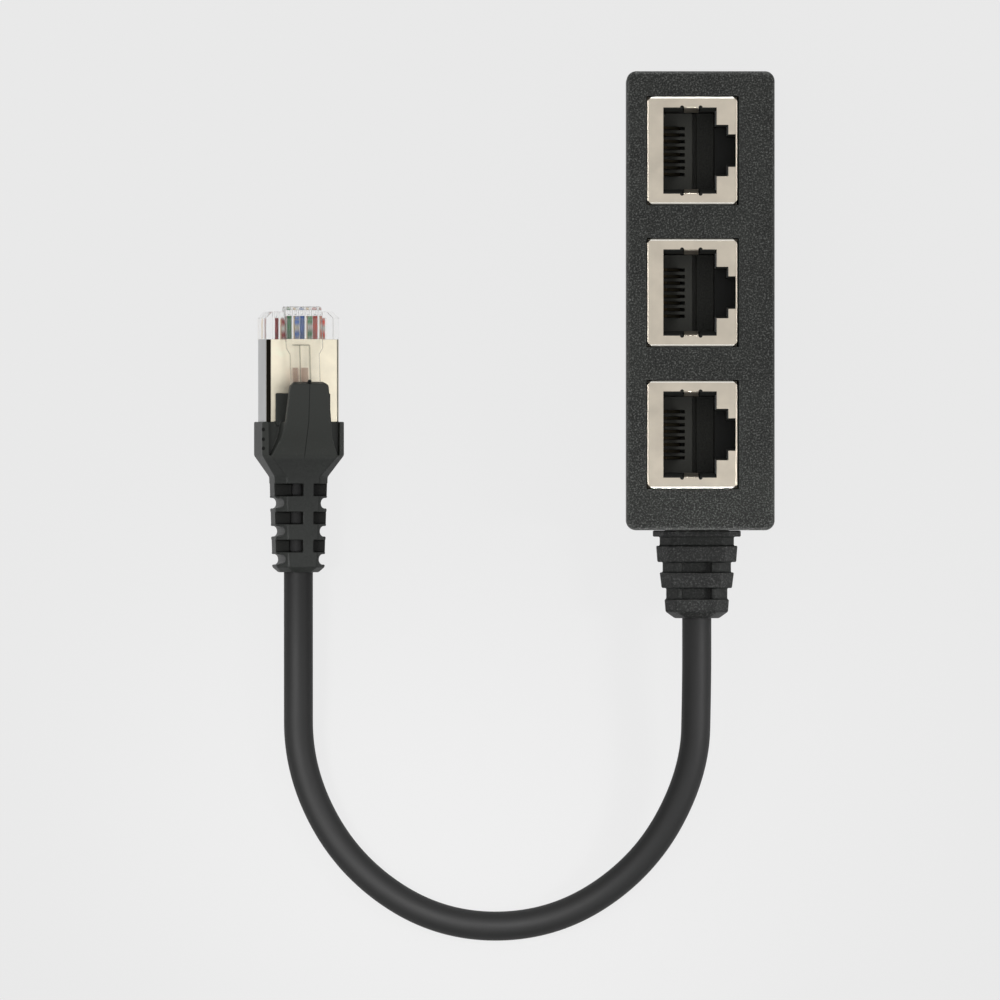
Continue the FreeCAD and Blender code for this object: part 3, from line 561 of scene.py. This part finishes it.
def latch_channel(form):
    """Shallow channel down the middle of the latch's upper face."""
    same_place = 1e-7
    form.transform(plug_place.inverted())
    cuts = (
        ((-channel_half_width, 0, 0), (1, 0, 0)),
        ((channel_half_width, 0, 0), (1, 0, 0)),
        ((0, channel_end, 0), (0, 1, 0)),
    )
    for place, direction in cuts:
        top = []
        for face in form.faces:
            if face.normal.z > facing_up and face.calc_center_median().z > latch_face_height:
                top.append(face)
        around = {vert for face in top for vert in face.verts}
        sides = {edge for face in top for edge in face.edges}
        geometry = [*top, *sides, *around]
        bmesh.ops.bisect_plane(form, geom=geometry, dist=same_place, plane_co=place, plane_no=direction)
    floor = []
    for face in form.faces:
        x, y, z = face.calc_center_median()
        on_top = face.normal.z > facing_up and z > latch_face_height
        if on_top and abs(x) < channel_half_width and y < channel_end:
            floor.append(face)
    grown = bmesh.ops.extrude_face_region(form, geom=floor)["geom"]
    bmesh.ops.delete(form, geom=floor, context="FACES_ONLY")
    sunk = [item for item in grown if isinstance(item, bmesh.types.BMVert)]
    bmesh.ops.translate(form, verts=sunk, vec=(0, 0, -channel_depth))
    form.transform(plug_place)


def plug_coordinates(tree, coordinates):
    """Across, along and up in the plug's own frame."""
    own = add_node(tree, "ShaderNodeMapping", vector_type="TEXTURE")
    own.inputs["Location"].default_value = plug_place.translation
    own.inputs["Rotation"].default_value = plug_place.to_euler()
    feed(tree, coordinates, own.inputs["Vector"])
    split = add_node(tree, "ShaderNodeSeparateXYZ")
    feed(tree, own.outputs["Vector"], split.inputs[0])
    return split.outputs


def clear_material():
    """Clear polycarbonate, a little uneven, with painted shade as dark lines along the latch's channel and
    across its step, and pinkish stripes on the latch's tail.
    """
    haze_waves = 500.0
    clearest = 0.03
    haziest = 0.12
    latch_up = (0.0040, 0.0075)
    arm_along = (-0.0136, -0.0052)
    step_along = (-0.00527, -0.00513)
    step_across = (-0.0019, 0.0008)
    tail_along = (-0.0112, -0.0087)
    channel_edges = ((-0.00083, -0.00070), (0.00070, 0.00083))
    tail_stripes = ((-0.0020, -0.00115), (-0.0006, 0.0005))
    edge_shade_colour = (0.3, 0.3, 0.28, 1.0)
    stripe_colour = (0.62, 0.52, 0.50, 1.0)
    material, tree, shader, coordinates = bare_material("clear_polycarbonate")
    shader.inputs["Base Color"].default_value = (0.985, 0.985, 0.98, 1.0)
    shader.inputs["Transmission Weight"].default_value = 0.985
    shader.inputs["IOR"].default_value = 1.36
    flow = clouds(tree, coordinates, haze_waves, detail=3.0)
    haze = mapped(tree, flow, 0.0, 1.0, clearest, haziest)
    feed(tree, haze, shader.inputs["Roughness"])
    across, along, up = plug_coordinates(tree, coordinates)
    latch = between(tree, up, latch_up, blur=0.0001)
    arm = product(tree, latch, between(tree, along, arm_along, blur=0.00005))
    # Painted shade: dark lines at the channel's edges and at its step.
    for span in channel_edges:
        line = between(tree, across, span, blur=0.00004)
        painted(tree, shader, product(tree, line, arm), edge_shade_colour)
    step = product(tree, between(tree, along, step_along, blur=0.00004), latch)
    line = between(tree, across, step_across, blur=0.00004)
    painted(tree, shader, product(tree, line, step), edge_shade_colour)
    tail = product(tree, between(tree, along, tail_along, blur=0.00006), arm)
    for span in tail_stripes:
        stripe = between(tree, across, span, blur=0.00005)
        painted(tree, shader, product(tree, stripe, tail), stripe_colour)
    return material


def shell_material():
    """Tin plate, with a painted grey reflection on its narrow sides, painted shade along the left fold and a
    fainter line of painted shade along the right fold.
    """
    reflecting_sides = ((-0.0060, -0.00568), (0.00568, 0.0060))
    left_fold_shade = (-0.00568, -0.00500)
    right_fold_shade = (0.00545, 0.00562)
    top_up = (0.0030, 0.0036)
    material = plated("plug_tin", linear(254, 245, 222), gloss=0.3)
    tree = material.node_tree
    shader = tree.nodes["Principled BSDF"]
    across, along, up = plug_coordinates(tree, add_node(tree, "ShaderNodeTexCoord").outputs["Object"])
    # Painted reflection: the narrow sides grey, as they mirror the grey room.
    for span in reflecting_sides:
        painted(tree, shader, between(tree, across, span, blur=0.00003), linear(186, 187, 187))
    # Painted shade: a dark line along the left fold and a grey one along the right, on the top.
    top = between(tree, up, top_up, blur=0.00005)
    left_shade = product(tree, between(tree, across, left_fold_shade, blur=0.00005), top)
    painted(tree, shader, left_shade, linear(24, 22, 18))
    line = product(tree, between(tree, across, right_fold_shade, blur=0.00004), top)
    painted(tree, shader, line, linear(120, 118, 110))
    return material


clear = edged(
    "plug_moulding", "plug_body", "clear", [clear_material()], edge=0.00012, rework=latch_channel
)
shell = edged("plug_shell", "plug_shield", "plug_tin", [shell_material()], edge=0.00004)
blade_gold = plated("blade_gold", linear(232, 190, 100), gloss=0.2)
blades = [f"plug_contact_{contact}" for contact in range(1, 9)]
for node in blades:
    carried(node, blade_gold)


# The eight wires in the plug, in their standard order. Four have a plain coloured jacket and four
# are white with a stripe of their pair's colour.
wire_colours = {
    "orange": linear(255, 70, 30),
    "green": linear(24, 150, 66),
    "blue": linear(36, 118, 226),
    "brown": linear(170, 34, 36),
}


def wire_material(name, colour, striped):
    """Plain jacket with a slight change of shade along it, or a white one with stripes."""
    material, tree, shader, coordinates = bare_material(name)
    band = add_node(tree, "ShaderNodeTexWave", bands_direction="Y")
    band.inputs["Scale"].default_value = 150.0
    band.inputs["Distortion"].default_value = 1.5
    feed(tree, coordinates, band.inputs["Vector"])
    white = linear(226, 222, 212)
    darker = [0.8 * value for value in colour]
    first, second = (white, colour) if striped else (colour, darker)
    feed(tree, mixed(tree, band.outputs["Fac"], first, second), shader.inputs["Base Color"])
    shader.inputs["Roughness"].default_value = 0.4
    return material


for tone, colour in wire_colours.items():
    for prefix in ("", "white_"):
        node = f"wire_{prefix}{tone}"
        carried(node, wire_material(f"{prefix}{tone}_wire", colour, bool(prefix)))


# The boot. Soft black PVC slipped over the plug's tail, with a hood that keeps the latch from
# snagging and a slotted tail that bends with the cable.
slot_stations = (-0.0275, -0.03183, -0.03616)
slot_reach = 0.00091
pit_shade_places = ((-0.00630, -0.0182, 0.00387), (-0.00630, -0.0197, 0.00387), (-0.00630, -0.0211, 0.00387))
pit_shade_radius = 0.0003
nib_place = (0.0, -0.01082, 0.00862)
nib_radius = 0.0003
# The top of the hood, which gets painted light.
hood_along = (-0.0225, -0.0100)
hood_up = (0.0030, 0.0095)
parting_line = (-0.00008, 0.00004)


def boot_detail(form):
    """Nib on the hood's lip, three flat discs of painted shade for the pits in the left wall, and painted
    shade in the slots.
    """
    form.transform(plug_place.inverted())
    darken(form, [(station - slot_reach, station + slot_reach) for station in slot_stations])
    facing = Matrix.Rotation(math.radians(-45), 4, "Y")
    for place in pit_shade_places:
        shade_disc = Matrix.Translation(place) @ facing
        disc = bmesh.ops.create_circle(form, cap_ends=True, segments=12, radius=pit_shade_radius, matrix=shade_disc)
        for face in {face for vert in disc["verts"] for face in vert.link_faces}:
            face.material_index = 1
    nib = Matrix.Translation(nib_place)
    bmesh.ops.create_uvsphere(form, u_segments=12, v_segments=8, radius=nib_radius, matrix=nib)
    form.transform(plug_place)


def boot_material():
    """Black PVC with painted light on the top of the hood, and the mould's parting line down it."""
    material = moulded(
        "boot_pvc", linear(34, 36, 34), gloss=0.5, pit_size=0.0004, pit_depth=0.00003, mottle=1.2
    )
    tree = material.node_tree
    shader = tree.nodes["Principled BSDF"]
    across, along, up = plug_coordinates(tree, add_node(tree, "ShaderNodeTexCoord").outputs["Object"])
    over_plug = between(tree, along, hood_along, blur=0.0005)
    hood = product(tree, over_plug, between(tree, up, hood_up, blur=0.0001))
    # Painted light: the top of the hood paler than the rest of the boot.
    painted(tree, shader, hood, linear(50, 52, 49))
    line = product(tree, between(tree, across, parting_line, blur=0.00004), hood)
    painted(tree, shader, line, linear(12, 12, 12))
    return material


# Dark rubber as painted shade in the boot's slots and its pits.
boot_recess_shade = moulded(
    "boot_recess_shade", linear(15, 16, 14), gloss=0.6, pit_size=0.0004, pit_depth=0.00004, mottle=1.5, shine=0.2
)
boot = edged(
    "plug_cover",
    "plug_boot",
    "boot",
    [boot_material(), boot_recess_shade],
    edge=0.0002,
    segments=3,
    clamp=False,
    rework=boot_detail,
)


# The table. A pale matt top, as bright as paper to the eye, that takes the object's shadow.
table_size = 6.0
paper_share = 0.96


def flat_sheet(name, size):
    """Square sheet on the ground."""
    form = bmesh.new()
    bmesh.ops.create_grid(form, x_segments=1, y_segments=1, size=size / 2)
    mesh = bpy.data.meshes.new(name)
    form.to_mesh(mesh)
    form.free()
    sheet = bpy.data.objects.new(name, mesh)
    bpy.context.scene.collection.objects.link(sheet)
    return sheet


def table_material():
    """Matt paint, mixed with an even glow for what is seen straight or through clear plastic."""
    material, tree, shader, _ = bare_material("table_paint")
    shader.inputs["Base Color"].default_value = (0.8, 0.8, 0.8, 1.0)
    shader.inputs["Roughness"].default_value = 0.9
    paper = add_node(tree, "ShaderNodeEmission")
    paper.inputs["Color"].default_value = linear(234, 234, 234)
    rays = add_node(tree, "ShaderNodeLightPath").outputs
    seen = rays["Is Camera Ray"]
    for ray in ("Is Glossy Ray", "Is Transmission Ray"):
        seen = computed(tree, "MAXIMUM", seen, rays[ray])
    surface = add_node(tree, "ShaderNodeMixShader")
    feed(tree, computed(tree, "MULTIPLY", seen, paper_share), surface.inputs[0])
    feed(tree, shader.outputs[0], surface.inputs[1])
    feed(tree, paper.outputs[0], surface.inputs[2])
    feed(tree, surface.outputs[0], tree.nodes["Material Output"].inputs["Surface"])
    return material


table = flat_sheet("table_top", table_size)
table.data.materials.append(table_material())


# The room and its lamps. An even white room, bright overhead and dim near the ground, three soft lamps
# over the cable, and four low ones that pick out the rims and the grain of the box.
dim_below = 0.15
bright_above = 0.8
dim_light = 0.17
bright_light = 1.0
room = bpy.data.worlds.new("room")
room.use_nodes = True
room_light = room.node_tree.nodes["Background"]
room_light.inputs["Color"].default_value = (1.0, 1.0, 1.0, 1.0)
direction = add_node(room.node_tree, "ShaderNodeTexCoord")
height = add_node(room.node_tree, "ShaderNodeSeparateXYZ")
feed(room.node_tree, direction.outputs["Generated"], height.inputs[0])
sky = mapped(room.node_tree, height.outputs["Z"], dim_below, bright_above, dim_light, bright_light)
feed(room.node_tree, sky, room_light.inputs["Strength"])
bpy.context.scene.world = room


def lamp(name, target, turn, lean, distance, size, spread, power):
    """Soft lamp aimed at a point of the object: turned round it, leaning from straight above it."""
    data = bpy.data.lights.new(name, "AREA")
    data.shape = "RECTANGLE"
    data.size = size[0]
    data.size_y = size[1]
    data.spread = math.radians(spread)
    data.energy = power
    light = bpy.data.objects.new(name, data)
    turn = math.radians(turn)
    lean = math.radians(lean)
    outward = Vector((math.cos(turn), math.sin(turn), 0.0))
    back = outward * math.sin(lean) + Vector((0.0, 0.0, math.cos(lean)))
    along = Vector((-math.sin(turn), math.cos(turn), 0.0))
    across = along.cross(back)
    light.location = Vector(target) + back * distance
    light.rotation_euler = Matrix((across, along, back)).transposed().to_euler()
    bpy.context.scene.collection.objects.link(light)


# Each lamp's name, aim, turn and lean in degrees, distance, size, spread in degrees, and watts.
lamps = (
    ("left_lamp", (-0.062, -0.072, 0.004), 180, 24, 0.25, (0.05, 0.05), 22, 0.013),
    ("low_lamp", (-0.031, -0.105, 0.003), 90, 8, 0.25, (0.05, 0.06), 22, 0.0105),
    ("right_lamp", (0.0, -0.072, 0.006), 0, 42, 0.25, (0.05, 0.06), 21, 0.0125),
    ("edge_lamp", (0.0, -0.036, 0.0239), 270, 89.8, 0.35, (0.004, 0.08), 2.6, 0.0017),
    ("grain_lamp", (-0.011, 0.0, 0.0242), 180, 80, 0.3, (0.01, 0.10), 10, 0.0030),
    ("right_rim_lamp", (0.011, 0.0, 0.0242), 0, 87, 0.3, (0.006, 0.10), 6, 0.0012),
    ("top_rim_lamp", (0.0, 0.035, 0.0241), 90, 89.8, 0.35, (0.004, 0.08), 2.6, 0.0011),
)
for settings in lamps:
    lamp(*settings)
